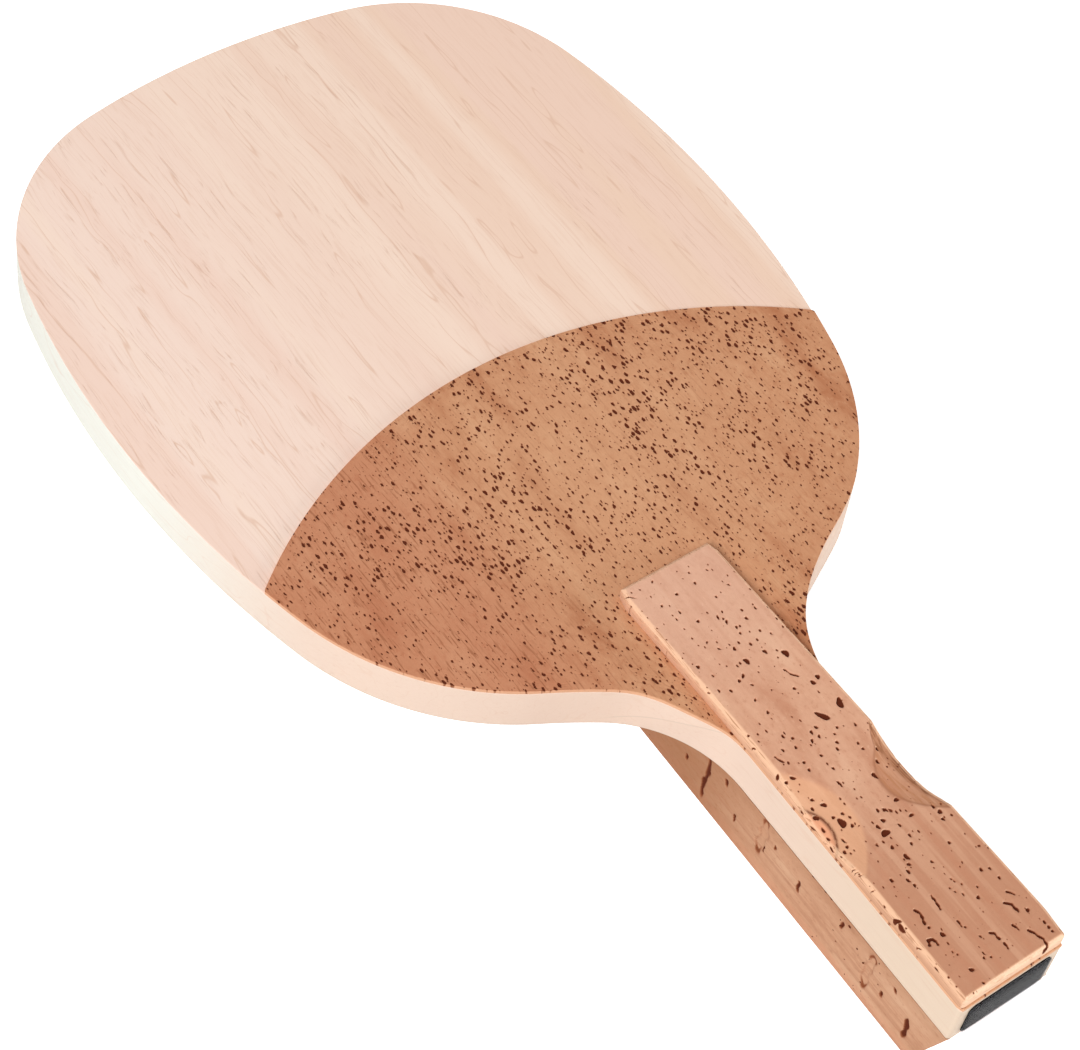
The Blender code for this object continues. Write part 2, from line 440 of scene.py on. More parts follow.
def makeWoodMaterial():
    material, coords, shader = startMaterial("bladeWood")
    x, y, z = axes(coords)
    shows = wood["shows"]
    across = between(x, -60, 55)
    bands = noise(coords, (0.085, 0.003, 0.05), detail=1.0)
    wall = between(maths("ABSOLUTE", facing(coords, "Z")), 0.85, 0.4)
    # walls facing left near the head, for the painted highlight
    leftWallHighlight = times(between(facing(coords, "X"), -0.45, -0.9), between(y, -12, 45))
    quiet = maths("SUBTRACT", 1.0, times(wall, 0.65))  # the grain is weaker on the walls
    # Painted shade: a darker line along the crease of the left neck wall
    creaseZ, creaseY, slope = blade["crease"]
    crease = maths("ADD", maths("SUBTRACT", z, creaseZ + slope * creaseY), times(y, slope))
    crease = between(maths("ABSOLUTE", crease), 0.3, 0.0, 0.0, shows["crease"])
    crease = times(crease, between(y, -60, -56), between(y, -40, -43), wall, between(x, 0, -5))
    wavy = bend(bend(coords, (0.05, 0.03, 0.05), 3.0), (0.25, 0.09, 0.25), 1.3)
    fibres = noise(wavy, (2.4, 0.05, 2.4), detail=3.0, roughness=0.55)
    rings = noise(wavy, (0.42, 0.012, 0.3), detail=0.0, move=(3.1, 0, 0))
    rings = maths("ABSOLUTE", maths("SUBTRACT", rings, 0.5))
    dashes = between(noise(wavy, (2.3, 0.075, 2.3), detail=2.5, move=(7, 2, 5)), 0.56, 0.78)
    crowd = noise(coords, (0.05, 0.03, 0.05), detail=1.0, move=(1, 8, 2))
    crowd = maths("SUBTRACT", crowd, times(across, 0.16))  # fewer dashes to the right
    dashes = times(dashes, between(crowd, 0.25, 0.48, 0.08, 1.0), quiet)
    colour = overlay(
        mix(across, wood["left"], wood["right"]),
        (between(bands, 0.5, 0.62, 0.0, shows["bands"]), wood["pinkBand"]),
        (between(bands, 0.48, 0.36, 0.0, shows["bands"]), wood["paleBand"]),
        (times(wall, shows["rimLow"]), mix(between(y, -60, -110), wood["rimLow"], wood["rimButt"])),
        # painted highlight: the walls facing left near the head are paler
        (times(wall, leftWallHighlight), wood["rim"]),
        # painted shade along the bottom edge of the walls
        (between(z, 16.3, 15.95, 0.0, shows["underEdge"]), wood["underEdge"]),
        (crease, wood["crease"]),
        (times(between(fibres, 0.48, 0.75, 0.0, shows["fibres"]), quiet), wood["lines"]),
        (times(between(rings, 0.016, 0.0, 0.0, shows["rings"]), quiet), wood["lines"]),
        (times(dashes, shows["dashes"]), wood["dashes"]),
    )
    fill(shader, {
        "Base Color": colour,
        "Roughness": between(fibres, 0.3, 0.7, *wood["roughness"]),
        "Specular IOR Level": wood["specular"],
        "Normal": bump(maths("SUBTRACT", times(fibres, 0.5), dashes), wood["grainDepth"]),
    })
    return material


def makeCore():
    low, high, e = blade["bottom"], blade["top"], blade["edge"]
    rings = []
    outline = carvedOutline(low)
    for a in radians(0), radians(30), radians(60), radians(90):
        rings.append(level(inset(outline, e * (1 - sin(a))), low + e * (1 - cos(a))))
    facet = facetWidth(outline)
    wallTop = high - e - blade["underEdge"] - blade["facet"][3] * facet
    for share in np.linspace(0, 1, 13)[1:]:
        z = low + e + share * (wallTop - low - e)
        rings.append(level(carvedOutline(z), z))
    outline = carvedOutline(high)
    for share in (0.35, 0.7, 1.0):
        z = wallTop + share * (high - e - wallTop)
        rings.append(level(inset(outline, facet * share), z))
    for a in radians(60), radians(30), radians(0):
        rings.append(level(inset(outline, facet + e * (1 - sin(a))), high - e * (1 - cos(a))))
    return loft("blade_core_wood", rings)


print("wood core")
place(makeCore(), "blade_core", makeWoodMaterial())


# Scoops in the grip: side, station, inner end from the middle, slope, radius

scoops = {
    "top": 29.5,
    "soften": 0.09,
    "order": ("leftWide", "leftDeep", "rightWide", "rightDeep"),
    "leftWide": (-1, 38.5, 3.5, 15.0, 44.0),
    "leftDeep": (-1, 38.3, 6.6, 34.0, 13.5),
    "rightWide": (1, 38.6, 3.0, 12.0, 30.0),
    "rightDeep": (1, 40.3, 6.2, 34.0, 24.8),
}


# How far a scoop's floor has risen at a station, measured at its inner end
def scoopRise(name, y):
    station, slope, radius = scoops[name][1], scoops[name][3], scoops[name][4]
    reach = np.clip(np.abs(y - (buttY + station)), 0, radius)
    return (radius - np.sqrt(radius ** 2 - reach ** 2)) / cos(radians(slope))


# Height of one scoop's floor over a point
def scoopHeight(name, x, y):
    side, _, innerX, slope, _ = scoops[name]
    return scoops["top"] - (side * x - innerX) * tan(radians(slope)) + scoopRise(name, y)


# Where a scoop's floor comes down to a level
def scoopFoot(name, y, z):
    innerX, slope = scoops[name][2:4]
    return innerX + (scoops["top"] - z + scoopRise(name, y)) / tan(radians(slope))


# Cork of the three pieces, in the order base, deep and pale

cork = {
    "sheet": ((201, 144, 107), (174, 109, 74), (214, 162, 124)),
    "slab": ((215, 162, 132), (192, 132, 102), (226, 178, 147)),
    "block": ((200, 152, 121), (176, 123, 94), (212, 169, 138)),
    "streak": (150, 92, 62),
    "pore": (92, 40, 22),
    "poreRim": (150, 90, 60),
    "roughness": (0.74, 0.88),
    "specular": 0.08,
    "grainDepth": 0.08,
}


# Colour of bare cork: soft clouds, and a fine grain over them
def startCork(name, grain):
    material, coords, shader = startMaterial(name + "Cork")
    base, deep, pale = cork[name]
    clouds = noise(coords, (0.16, 0.05, 0.16), detail=3.0, roughness=0.55)
    cells = noise(coords, grain, detail=4.0, roughness=0.65, move=(4, 1, 9))
    colour = overlay(
        base,
        (between(clouds, 0.5, 0.72, 0.0, 0.7), deep),
        (between(clouds, 0.47, 0.28, 0.0, 0.7), pale),
        (between(cells, 0.52, 0.74, 0.0, 0.6), deep),
        (between(cells, 0.46, 0.25, 0.0, 0.5), pale),
    )
    return material, coords, shader, colour, cells


# A flat pattern would run down a wall as stripes, so it fades there
def quietOnWalls(pores):
    return times(pores, between(facing(pores, "Z"), 0.25, 0.6, 0.3, 1.0))


def finishCork(shader, colour, cells, pores):
    fill(shader, {
        "Base Color": overlay(
            colour,
            (between(pores, 0.0, 0.35), cork["poreRim"]),
            (between(pores, 0.2, 0.7), cork["pore"]),
        ),
        "Roughness": between(cells, 0.3, 0.7, *cork["roughness"]),
        "Specular IOR Level": cork["specular"],
        "Normal": bump(maths("SUBTRACT", cells, times(pores, 1.6)), cork["grainDepth"]),
    })


# Cork sheet

sheet = {
    "arcRadius": 100.0,
    "apexY": 28.95,
    "bottom": 25.91,
    "top": 26.7,
    "edge": 0.15,
    "columns": 300,
    # rows: where the fine ones start, their step, the coarse step, and the last ones from the arc
    "fineFrom": -45.0,
    "headStep": 0.42,
    "handleStep": 1.2,
    "lastRows": (0.22, 0.12, 0.06, 0.03),
    # station and reach of the scoop that bevels the sheet
    "scoopSpan": (40, 15),
    "leftColour": (188, 118, 90),
    # painted highlight on the sheet's edges
    "edgeHighlight": (236, 184, 148),
    "smallDepth": 0.18,
    "relief": 0.03,
    "crowdMove": (2.0, 5.0, 1.0),
    "crowd": (0.78, 1.2),
    # x, y, reach and strength of places where pores gather
    "clusters": (
        (22.0, 16.0, 12.0, 0.22),
        (-31.0, 3.0, 7.0, 0.25),
        (-12.0, 16.0, 7.0, 0.25),
        (18.0, 4.0, 7.0, 0.25),
        (30.0, 15.0, 22.0, 0.15),
    ),
    "layers": (
        {"cell": 0.92, "stretch": 1.9, "share": 0.75, "radius": 0.35, "blur": 0.22,
         "ragged": 0.42, "move": (0.3, 0.7, 0.2)},
        {"cell": 0.6, "stretch": 2.0, "share": 0.5, "radius": 0.36, "blur": 0.5,
         "ragged": 0.5, "move": (5.1, 3.3, 0.6)},
    ),
}


# Left and right limit of the sheet: the carved wood, less the facet, inside the big arc
def sheetLimits(y):
    outline = carvedOutline(blade["top"])
    outline = inset(outline, facetWidth(outline))
    rise = np.clip(y - (sheet["apexY"] - sheet["arcRadius"]), 0, sheet["arcRadius"])
    bow = np.sqrt(sheet["arcRadius"] ** 2 - rise ** 2)
    limits = []
    for side in (-1, 1):
        edge = outline[(outline[:, 0] * side > 0) & (outline[:, 1] > buttY + 0.1)]
        order = np.argsort(edge[:, 1])
        wide = np.interp(y, edge[order, 1], np.abs(edge[order, 0]))
        limits.append(side * np.minimum(wide, bow))
    return limits


# Columns close together at both edges of a row and even between them
def gridColumns(left, right, edges, count):
    shares = np.linspace(0, 1, count)[:, None]
    last = edges[-1] * 1.3
    middle = (left + last) * (1 - shares) + (right - last) * shares
    near, far = [left + edge for edge in edges], [right - edge for edge in edges[::-1]]
    return np.vstack((near, middle, far)).T


def makeSheet():
    fine = sheet["fineFrom"]
    head = np.arange(fine, sheet["apexY"] - 0.3, sheet["headStep"])
    handle = np.arange(buttY + clearance, fine - 0.2, sheet["handleStep"])
    last = sheet["apexY"] - np.array(sheet["lastRows"])
    y = np.concatenate((handle, head, last))
    left, right = sheetLimits(y)
    high, low, e = sheet["top"], sheet["bottom"], sheet["edge"]
    x = gridColumns(left, right, (0.0, e * 0.4, e), sheet["columns"])
    y = np.repeat(y[:, None], x.shape[1], axis=1)
    side = np.minimum(x - left[:, None], right[:, None] - x)
    z = high - np.clip(e - side, 0, e)
    scoop = scoopHeight("rightDeep", x, y)
    station, reach = sheet["scoopSpan"]
    near = (np.abs(y - buttY - station) < reach) & (x > 0)
    z = np.where(near, np.minimum(z, scoop), z)
    z = np.clip(z, low + 0.05, high)
    carve = smoothStep(side / 0.6) * (high - z < 0.05)
    return gridSolid("cork_sheet_skin", x, y, z, low, 2, {"carve": carve})


def makeSheetMaterial():
    material, coords, shader, colour, cells = startCork("sheet", (1.1, 0.6, 1.1))
    leftSide = between(axes(coords)["X"], -12, -36)
    streaks = between(noise(coords, (2.4, 0.2, 2.4), move=(2, 6, 1)), 0.54, 0.68)
    colour = overlay(
        colour,
        (times(closeTo(coords, 4, -4, 46), 0.45), cork["sheet"][2]),
        (times(leftSide, 0.45), sheet["leftColour"]),
        (times(streaks, maths("ADD", times(leftSide, 0.45), 0.22)), cork["streak"]),
        # painted highlight: the sheet's edges are paler
        (between(facing(coords, "Z"), 0.75, 0.3, 0.0, 0.7), sheet["edgeHighlight"]),
    )
    finishCork(shader, colour, cells, quietOnWalls(allPores(coords, sheet)))
    return material


# Grip slab: a fine height field with the scoops, the chamfer and the large pores cut in

slab = {
    "bottom": 26.72,
    "length": 94.5,
    "buttInset": 0.3,
    "chamfer": 0.6,
    "clipLeft": (0.7, 2.7),
    "clipRight": (0.6, 2.2),
    # towards the head the left edge stands out: from where, over what length, how far
    "widerLeft": (-62.0, 36.0, 0.9),
    # past the scoop the right edge is fuller: from where, over what length, back over what
    # length at the butt, how far
    "fullerRight": (-86.0, 3.0, 7.0, 0.5),
    "buttCorner": 0.8,
    "step": 0.18,
    "edgeColumns": (0.0, 0.1, 0.2, 0.3, 0.42, 0.55, 0.7, 0.85),
    "edgeSoften": 0.12,
    "poreDepth": 0.45,
    "poreScale": 1.1,
    "trackScale": 1.15,
    "smallDepth": 0.2,
    "relief": 0.05,
    "crowdMove": (7.0, 2.0, 4.0),
    "crowd": (0.75, 1.1),
    "clusters": ((1.0, -88.0, 9.0, 0.35), (-7.0, -82.0, 6.5, 0.5), (0.0, -45.0, 14.0, 0.25)),
    "layers": (
        {"cell": 0.8, "stretch": 1.6, "share": 0.26, "radius": 0.32, "blur": 0.4,
         "ragged": 0.4, "move": (0.1, 0.4, 0.9)},
        {"cell": 2.1, "stretch": 1.4, "share": 0.08, "radius": 0.18, "blur": 0.16,
         "ragged": 0.4, "move": (3.1, 7.3, 0.2)},
    ),
    "colours": {
        "head": (226, 180, 156),
        "butt": (186, 130, 100),
        # leftCutHighlight: painted highlight, the left scoop is paler
        "leftCutHighlight": (234, 178, 138),
        "leftDeep": (228, 154, 118),
        "leftStreaks": (196, 120, 84),
        # rightCutShade, rightDeep, rightStreaks: painted shade on the right scoop, darkest on its
        # steep outer facet
        "rightCutShade": (182, 122, 84),
        "rightDeep": (178, 116, 78),
        "rightStreaks": (114, 68, 42),
        "ridge": (104, 54, 34),
        # brink: painted shade along the upper edge of the scoops, mostly on the right
        "brinkShade": (150, 94, 64),
        # rub: the chamfer all round is paler, sanded wear and partly a painted highlight
        "rubAndHighlight": (246, 200, 164),
        "rubLines": (160, 98, 66),
        # endFaceHighlight: painted highlight on faces towards the butt
        "endFaceHighlight": (254, 216, 184),
        "endGrain": (216, 160, 124),
    },
    # x, y, length, width and any turn of the pores that show one by one
    "pores": (
        (3.6, -65.75, 2.6, 1, 25), (7.9, -65.25, 1.8, 1.2, -20), (6.6, -59.55, 1, 0.7, 40),
        (8, -59.05, 1, 0.7, -30), (6.3, -52.25, 1.3, 1.1), (-0.6, -49.95, 1.2, 0.9, 20),
        (-4.2, -52.45, 0.7, 0.5, -10), (3, -58.75, 0.6, 0.5), (0.8, -40.05, 0.9, 0.4, -20),
        (1.5, -41.65, 0.9, 0.4, -25), (2.3, -43.45, 0.8, 0.4, -15), (-7, -79.25, 1.1, 0.6, 30),
        (-6.6, -83.65, 1.6, 1.2), (-5.6, -85.05, 0.7, 0.5), (-7.1, -81.95, 0.7, 0.5, 40),
        (-5.5, -82.35, 0.6, 0.5), (-8.9, -78.65, 0.7, 0.5, 10), (-9.1, -80.45, 0.6, 0.5),
        (-11, -84.55, 0.7, 0.5), (-2, -89.35, 1, 1.8, 10), (-2.8, -92.05, 0.7, 0.6),
        (-1.9, -94.75, 1.5, 0.6, 15), (-2.5, -96.05, 0.8, 0.5, 30), (-3.5, -97.05, 0.8, 0.6),
        (-7, -96.75, 0.7, 0.5), (6, -96.55, 0.7, 0.5), (1.1, -97.75, 0.6, 0.5),
        (-8.5, -72.55, 1, 0.5, 45), (-10.4, -70.85, 0.7, 0.5), (-9.8, -72.55, 0.6, 0.5),
        (-6.6, -67.45, 0.7, 0.5), (-4.3, -68.15, 0.6, 0.5), (-3.6, -66.45, 0.6, 0.5),
        (-0.1, -67.25, 0.9, 0.5, -30), (-1.1, -68.65, 0.8, 0.5, -35), (-5.2, -72.85, 0.6, 0.5),
        (-5, -71.25, 0.6, 0.5), (-1.6, -71.75, 0.6, 0.5), (1.6, -72.25, 0.7, 0.5),
        (5.4, -73.25, 0.6, 0.5), (5.4, -74.55, 0.6, 0.5), (-1.5, -74.85, 0.6, 0.5),
        (-2.5, -77.75, 1.3, 0.5, 10), (4.3, -68.85, 0.6, 0.5), (3.1, -69.65, 0.6, 0.4),
        (6, -77.75, 0.8, 0.6), (7.6, -75.75, 0.7, 0.6), (3.7, -79.75, 1.5, 0.6, 15),
        (3.8, -85.35, 0.9, 0.7, 60), (0.9, -85.85, 1, 0.5, 30), (-0.3, -85.25, 0.8, 0.5),
        (-0.8, -87.25, 1, 0.6, 40), (-2.3, -87.75, 0.9, 0.6), (-9.6, -88.05, 0.7, 0.5),
        (-8.7, -87.55, 0.6, 0.5), (4, -89.05, 1.1, 0.5, 80), (1, -89.45, 0.7, 0.5),
        (8.3, -89.75, 0.8, 0.6), (8.6, -91.15, 0.9, 0.7), (8.1, -92.55, 0.7, 0.6),
        (1.2, -91.85, 0.7, 0.5), (0.4, -93.25, 0.7, 0.5), (-7.4, -106.9, 0.6, 0.5),
        (-6.3, -109.1, 0.9, 0.8), (7.2, -103.4, 0.7, 0.6), (3.3, -107.1, 0.7, 0.6),
        (-2.2, -110.1, 0.5, 0.4), (-1.2, -112.8, 0.6, 0.4), (-7, -112.4, 0.5, 0.35),
        (-6.6, -113.2, 0.5, 0.35, 20), (-6.5, -116.6, 1, 0.6, 40), (-2.8, -115.4, 0.7, 0.4),
        (-3.3, -116.1, 0.6, 0.4), (-2.2, -116.6, 0.5, 0.4), (-6.4, -119.5, 0.6, 0.4),
        (9.7, -116.6, 0.7, 0.5), (9.7, -117.7, 0.7, 0.5), (9.7, -118.6, 0.6, 0.5),
        (8.6, -104, 0.6, 0.5), (8.8, -106.2, 0.6, 0.5), (8.8, -113.4, 0.8, 0.6),
        (1.7, -102, 0.5, 0.35), (1.9, -102.6, 0.5, 0.35), (2.6, -103.7, 0.5, 0.35),
        (0.4, -103.2, 0.5, 0.35), (0.7, -104.2, 0.5, 0.35), (1.5, -105.3, 0.6, 0.4),
        (4.5, -105.5, 0.5, 0.4), (-6.9, -96.9, 0.6, 0.4), (-4.6, -98.3, 0.9, 0.5, 10),
        (-4.5, -28, 0.6, 0.33, -40), (1.8, -32.2, 0.65, 0.42, -3), (-2.4, -32.4, 0.65, 0.49, 34),
        (-4.3, -35.7, 0.7, 0.39, -9), (-5.7, -36.6, 0.6, 0.33, 4), (-2.7, -38.9, 0.7, 0.45, -39),
        (5, -42.9, 0.7, 0.52, -2), (-3.1, -45.4, 0.7, 0.39, 35), (-4.1, -43.2, 0.6, 0.33, -32),
        (-8.6, -46.4, 0.8, 0.52, 5), (-0.8, -46.8, 0.75, 0.56, -38), (7.7, -42, 0.7, 0.39, -1),
        (9.8, -42.9, 0.6, 0.33, 12), (9.6, -45.7, 0.65, 0.42, -31), (3.4, -50.1, 0.9, 0.68, 6),
        (-3, -52, 0.9, 0.5, -37), (-4, -60.1, 0.8, 0.44, -24), (1.2, -66.9, 0.8, 0.52, 13),
        (0.5, -68.6, 0.7, 0.52, -30), (-4.8, -65.3, 0.8, 0.44, 7), (2.4, -71.2, 0.8, 0.44, 20),
        (-8.5, -52.2, 0.65, 0.42, -23), (-6.7, -53.3, 0.65, 0.49, 14), (-4.3, -57, 0.7, 0.39, -29),
        (2.3, -29.9, 0.55, 0.3, -16), (5.4, -31.1, 0.55, 0.36, 21), (-6.2, -33, 0.55, 0.41, -22),
        (3.2, -36.5, 0.65, 0.36, 15), (-2.8, -54.3, 0.65, 0.36, 28), (7.4, -70.1, 0.7, 0.45, -15),
        (-7.5, -49.2, 0.55, 0.41, 22), (2.1, -44.8, 0.65, 0.36, -21), (6.7, -47.7, 0.6, 0.33, -8),
        (6.7, -35.6, 0.6, 0.39, 29), (-4.3, -99.6, 0.7, 0.5), (-9.4, -80.1, 0.9, 0.5, 20),
        (-9.6, -82.6, 1.0, 0.45, -10), (-9.9, -84.4, 0.9, 0.4, 15), (-8.4, -86.3, 1.2, 0.3, 10),
        (-8.0, -77.4, 0.8, 0.4, 30),
    ),
    # y, length, width, turn of the ones that open through the left edge
    "edgeMarks": (
        (-28.6, 1.9, 0.25, 45), (-64.3, 0.8, 0.25, 20), (-71.0, 0.9, 0.25, -15),
        (-78.0, 0.8, 0.25, 0), (-81.2, 1.3, 0.25, 10), (-86.2, 1.4, 0.25, -10),
        (-91.6, 1.2, 0.22, 80), (-92.3, 1.1, 0.2, 75), (-93.1, 1.2, 0.22, 80), (-99.8, 0.7, 0.2, 0),
        (-102.9, 1.7, 0.5, 25), (-104.3, 1.7, 0.4, -5), (-113.3, 1.2, 0.2, 0),
        (-51.5, 0.7, 0.2, 30), (-96.5, 0.9, 0.2, 60), (-108.8, 1.0, 0.2, 15),
    ),
    # width and track of the long winding ones
    "tracks": (
        (0.4, (-3.2, -102.6), (-3.3, -104.0), (-3.5, -105.3)),
        (0.5, (6.4, -110.3), (7.2, -111.2), (7.3, -112.7)),
        (0.4, (8.1, -108.9), (8.9, -110.0)),
        (0.4, (4.8, -114.0), (5.1, -115.3)),
        (0.45, (-7.3, -103.1), (-6.9, -104.3), (-7.6, -106.1)),
        (0.5, (-9.4, -109.4), (-9.0, -108.6), (-8.3, -108.8), (-8.1, -110.0)),
        (0.35, (-2.5, -108.5), (-2.6, -109.6)),
        (0.45, (0.6, -113.2), (1.1, -113.6), (1.2, -114.8)),
        (0.4, (1.4, -115.8), (1.3, -116.9)),
        (0.45, (6.4, -116.2), (6.9, -117.4), (7.4, -118.9), (7.2, -120.2), (6.2, -120.6)),
        (0.35, (-8.6, -67.8), (-8.0, -69.4)),
        (0.3, (5.2, -57.2), (4.4, -56.2), (3.9, -54.8)),
    ),
}

slabHeadY = buttY + slab["length"]
slabButtY = buttY + slab["buttInset"]


def slabLimit(y, side, clip):
    clipX, clipY = clip
    r = slab["buttCorner"]
    limit = halfWidthAt(y)
    if side < 0:
        middleY, reach, amount = slab["widerLeft"]
        limit = limit + amount * np.clip((y - middleY) / reach, 0, 1)
    else:
        startY, rise, fall, amount = slab["fullerRight"]
        share = np.clip((startY - y) / rise, 0, 1) * smoothStep((y - slabButtY) / fall)
        limit = limit + amount * share
    limit = limit - clipX * np.clip((y - (slabHeadY - clipY)) / clipY, 0, 1)
    fall = np.clip(r - (y - slabButtY), 0, r)
    return limit - (r - np.sqrt(r * r - fall * fall))


# How far inside a pore's outline, kept between 0 and 1 with the outline at one half
def fromEdge(distance):
    return np.clip(0.5 + distance / 0.6, 0, 1)


def poreDepths(x, y, pores):
    depth = np.zeros_like(x)
    for index, (px, py, length, width, *turn) in enumerate(pores):
        dx, dy = x - px, y - py
        near = dx * dx + dy * dy < length * length
        a = radians(sum(turn))
        along = (dy[near] * cos(a) - dx[near] * sin(a)) / (length * slab["poreScale"] / 2)
        across = (dx[near] * cos(a) + dy[near] * sin(a)) / (width * slab["poreScale"] / 2)
        angle = np.arctan2(along, across)
        r = np.sqrt(along ** 2 + across ** 2)
        r = r * (1 + 0.13 * np.sin(2 * angle + 1.7 * index) + 0.12 * np.sin(3 * angle + index))
        size = sqrt(length * width) * slab["poreScale"] / 2
        depth[near] = np.maximum(depth[near], fromEdge((1 - r) * size))
    return depth


def trackDepths(x, y, tracks):
    depth = np.zeros_like(x)
    ragged = 1 + 0.3 * np.sin(5.0 * y + 3.0 * x)
    for width, *points in tracks:
        for (ax, ay), (bx, by) in zip(points, points[1:]):
            dx, dy = bx - ax, by - ay
            share = np.clip(((x - ax) * dx + (y - ay) * dy) / (dx * dx + dy * dy), 0, 1)
            away = np.hypot(x - ax - dx * share, y - ay - dy * share)
            size = width * slab["trackScale"] / 2 * ragged
            depth = np.maximum(depth, fromEdge(size - away))
    return depth


def makeSlab():
    step = slab["step"]
    edges = np.array(slab["edgeColumns"])
    middle = np.arange(1.0, slab["length"] - 1.0, step)
    rowsY = np.concatenate((slabButtY + edges, slabButtY + middle, slabHeadY - edges[::-1]))
    rowsY = np.unique(np.round(rowsY, 4))
    left = -slabLimit(rowsY, -1, slab["clipLeft"])
    right = slabLimit(rowsY, 1, slab["clipRight"])
    bottom = slab["bottom"]
    leftEdge, rightEdge = left, right
    for kind in ("Deep", "Wide"):
        leftEdge = np.maximum(leftEdge, -scoopFoot("left" + kind, rowsY, bottom))
        rightEdge = np.minimum(rightEdge, scoopFoot("right" + kind, rowsY, bottom))
    x = gridColumns(leftEdge, rightEdge, edges, int(20 / step) + 1)
    y = np.repeat(rowsY[:, None], x.shape[1], axis=1)
    side = np.minimum(x - left[:, None], right[:, None] - x)
    side = np.minimum(side, np.minimum(slabHeadY - y, y - slabButtY))
    top = np.full_like(x, scoops["top"] - clearance)
    z = smoothMin(top, top - slab["chamfer"] + side, slab["edgeSoften"])
    whole = z.copy()
    floors = {name: scoopHeight(name, x, y) for name in scoops["order"]}
    for floor in floors.values():
        z = smoothMin(z, floor, scoops["soften"])
    cut = smoothStep((whole - z) / 0.25)
    apart = floors["leftWide"] - floors["leftDeep"]
    deep = smoothStep(apart / 0.2) * (x < 0)
    ridge = np.exp(-(apart / 0.12) ** 2) * (x < 0) * cut
    rightApart = floors["rightWide"] - floors["rightDeep"]
    deep = np.maximum(deep, smoothStep(rightApart / 0.3) * (x > 0))
    marks = [(-halfWidthAt(mark[0]) + 0.1, *mark) for mark in slab["edgeMarks"]]
    depth = poreDepths(x, y, [*slab["pores"], *marks])
    depth = np.maximum(depth, trackDepths(x, y, slab["tracks"]))
    room = np.clip(z - bottom, 0, 1)
    sunk = smoothStep((depth - 0.38) / 0.4) * slab["poreDepth"] * room
    z = np.clip(z - sunk, bottom + 0.01, scoops["top"] - 0.01)
    carve = smoothStep(side / 0.5) * np.clip(room, 0, 1)
    # the chamfer band: sanded wear and partly a painted highlight
    rubAndHighlight = smoothStep((slab["chamfer"] + 0.25 - side) / 0.35)
    values = {"pore": depth, "carve": carve, "cut": cut, "rubAndHighlight": rubAndHighlight, "deep": deep, "ridge": ridge}
    return gridSolid("grip_slab_cork", x, y, z, bottom, 6, values)


def makeSlabMaterial():
    material, coords, shader, colour, cells = startCork("slab", (1.3, 0.7, 1.3))
    x, y, _ = axes(coords)
    paint = slab["colours"]
    growth = noise(coords, (0.6, 0.02, 0.6), move=(5, 5, 2))
    banded = between(y, -66, -96, 0.35, 1.0)
    cut, deep, rubAndHighlight = [attribute(coords, name) for name in ("cut", "deep", "rubAndHighlight")]
    leftCutHighlight, rightCutShade = times(cut, between(x, 1, -1)), times(cut, between(x, -1, 1))
    leftDeep, rightDeep = times(leftCutHighlight, deep), times(rightCutShade, deep)
    streaks = between(noise(coords, (1.5, 0.22, 1.5), detail=3.0, move=(8, 1, 4)), 0.42, 0.62)
    lines = between(noise(coords, (3.5, 0.25, 3.5), move=(2, 7, 1)), 0.54, 0.66, 0.0, 0.6)
    # Painted highlight: faces towards the butt are paler
    endFaceHighlight = between(facing(coords, "Y"), -0.35, -0.8, 0.0, 0.85)
    endGrain = noise(coords, (0.5, 1.0, 3.0), detail=3.0, move=(1, 1, 6))
    colour = overlay(
        colour,
        (between(y, -62, -30, 0.0, 0.45), paint["head"]),
        (between(y, -72, -102, 0.0, 0.75), paint["butt"]),
        (times(between(growth, 0.52, 0.68, 0.0, 0.5), banded), cork["slab"][1]),
        (times(between(growth, 0.46, 0.34, 0.0, 0.3), banded), cork["slab"][2]),
        # painted highlight on the left scoop
        (times(leftCutHighlight, 0.5), paint["leftCutHighlight"]),
        (times(leftDeep, 0.6), paint["leftDeep"]),
        (times(leftDeep, streaks, 0.3), paint["leftStreaks"]),
        # painted shade on the right scoop, darker on its steep facet and towards the edge; the
        # streaks are marks in the cork
        (times(rightCutShade, maths("ADD", times(streaks, 0.42), 0.3)), paint["rightCutShade"]),
        (times(rightDeep, 0.5), paint["rightDeep"]),
        (times(rightDeep, streaks, between(x, 6.6, 11.5, 0.15, 0.85)), paint["rightStreaks"]),
        (times(attribute(coords, "ridge"), between(cells, 0.35, 0.5, 0.55, 1.0)), paint["ridge"]),
        # painted shade along the upper edge of the scoops, mostly on the right
        (times(cut, maths("SUBTRACT", 1.0, cut), between(x, -1, 1, 0.0, 1.9)), paint["brinkShade"]),
        # paler chamfer: sanded wear and partly a painted highlight
        (times(rubAndHighlight, 0.7), paint["rubAndHighlight"]),
        (times(lines, rubAndHighlight), paint["rubLines"]),
        (endFaceHighlight, paint["endFaceHighlight"]),
        (times(between(endGrain, 0.5, 0.66, 0.0, 0.6), endFaceHighlight), paint["endGrain"]),
    )
    drawn = between(attribute(coords, "pore"), 0.42, 0.9)
    finishCork(shader, colour, cells, maths("MAXIMUM", quietOnWalls(allPores(coords, slab)), drawn))
    return material


print("cork sheet")
place(makeSheet(), "cork_sheet", makeSheetMaterial(), sheet)

print("grip slab")
place(makeSlab(), "grip_slab", makeSlabMaterial(), slab)


# Finger block: rings up its height, with the sloped butt end, the hollow head end and the notch

